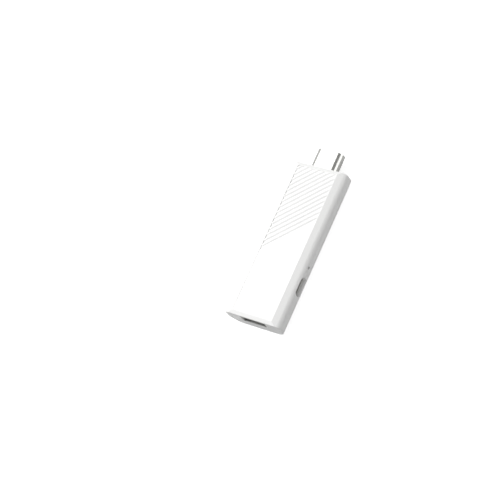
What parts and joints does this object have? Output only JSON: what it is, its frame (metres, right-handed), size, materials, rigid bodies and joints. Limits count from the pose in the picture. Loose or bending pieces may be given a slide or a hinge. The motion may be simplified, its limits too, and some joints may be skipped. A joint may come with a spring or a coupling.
{
  "type": "streaming stick",
  "caption": "White streaming stick with an HDMI plug at one end, a USB-A socket at the other, a side power socket and a diagonally ribbed top plate.",
  "frame": {"origin": "under the middle of the whole length, plug included, on the plane that the underside rests on", "axes": "+Y from the USB-A end to the HDMI plug, +X to the side with the power socket and the pinhole, +Z out of the ribbed top"},
  "size_m": [0.031, 0.0914, 0.0132],
  "materials": {
    "white_casing": "satin moulded white plastic",
    "white_plate": "satin moulded white plastic, finely ribbed on the far half",
    "label_film": "blank light grey printed film",
    "board_laminate": "green solder mask on glass laminate",
    "plug_plating": "bright nickel plating on folded steel",
    "socket_steel": "tinned folded steel",
    "black_moulding": "black moulded connector plastic",
    "contact_gold": "gold-plated spring strip",
    "switch_steel": "thin stainless strip",
    "plunger_plastic": "dark moulded plastic",
    "chip_moulding": "dark grey chip package",
    "pad_silicone": "soft blue-grey silicone pad",
    "sink_aluminium": "plain extruded aluminium",
    "inductor_ferrite": "dark grey pressed ferrite",
    "capacitor_moulding": "ochre moulded package",
    "can_steel": "thin tinned steel can",
    "coax_gold": "gold-plated coaxial fitting",
    "capacitor_ceramic": "tan ceramic",
    "resistor_ceramic": "black-coated ceramic",
    "cable_jacket": "dark grey thin jacket",
    "antenna_film": "amber flexible circuit film"
  },
  "bodies": {
    "stick": {"top_case": "white_casing", "bottom_cover": "white_casing", "top_plate": "white_plate", "underside_label": "label_film", "main_board": "board_laminate", "wifi_module": "board_laminate", "hdmi_plug_shell": "plug_plating", "usb_socket_shell": "socket_steel", "power_socket_shell": "socket_steel", "hdmi_plug_insulator": "black_moulding", "usb_socket_tongue": "black_moulding", "power_socket_tongue": "black_moulding", "reset_switch_body": "black_moulding", "hdmi_plug_contacts": "contact_gold", "usb_socket_contacts": "contact_gold", "power_socket_contacts": "contact_gold", "reset_switch_frame": "switch_steel", "reset_switch_dome": "switch_steel", "processor": "chip_moulding", "memory_chips": "chip_moulding", "flash_chip": "chip_moulding", "power_chip": "chip_moulding", "thermal_pad": "pad_silicone", "heat_sink": "sink_aluminium", "power_inductors": "inductor_ferrite", "reservoir_capacitors": "capacitor_moulding", "clock_crystals": "can_steel", "wifi_shield": "can_steel", "antenna_socket": "coax_gold", "antenna_plug": "coax_gold", "filter_capacitors": "capacitor_ceramic", "chip_resistors": "resistor_ceramic", "antenna_cable": "cable_jacket", "antenna_strip": "antenna_film"},
    "reset_button": {"reset_plunger": "plunger_plastic"}
  },
  "joints": [
    {"name": "reset_press", "type": "slide", "parent": "stick", "child": "reset_button", "axis": [-1, 0, 0], "range_m": [0, 0.00025], "stiffness_N_per_m": 6000}
  ]
}
